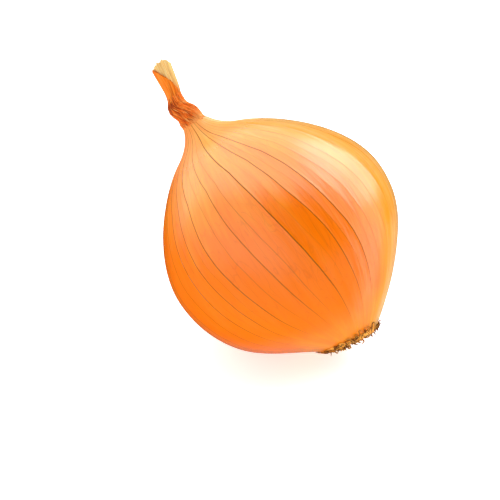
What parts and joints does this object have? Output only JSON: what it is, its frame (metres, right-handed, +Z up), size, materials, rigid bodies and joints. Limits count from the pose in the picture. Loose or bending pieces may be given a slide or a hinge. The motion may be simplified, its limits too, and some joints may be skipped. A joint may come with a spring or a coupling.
{
  "type": "onion",
  "caption": "Whole dry brown onion with papery ribbed skin, a pinched dry neck and a tuft of short dry roots, lying on its flank on a small flat spot.",
  "frame": {"origin": "middle of the small flat spot on the flank that the onion rests on", "axes": "+Z up; -X the way the neck points, seen from above; +X the way the roots point; the growth axis leans 44.4 degrees from +Z towards -X"},
  "size_m": [0.0925, 0.082, 0.0924],
  "materials": {
    "onion_skin": "satin dry papery skin with fine lengthwise veins",
    "dry_root": "matt, dry and fibrous"
  },
  "bodies": {
    "root": {"bulb": "onion_skin", "roots": "dry_root"}
  },
  "joints": []
}
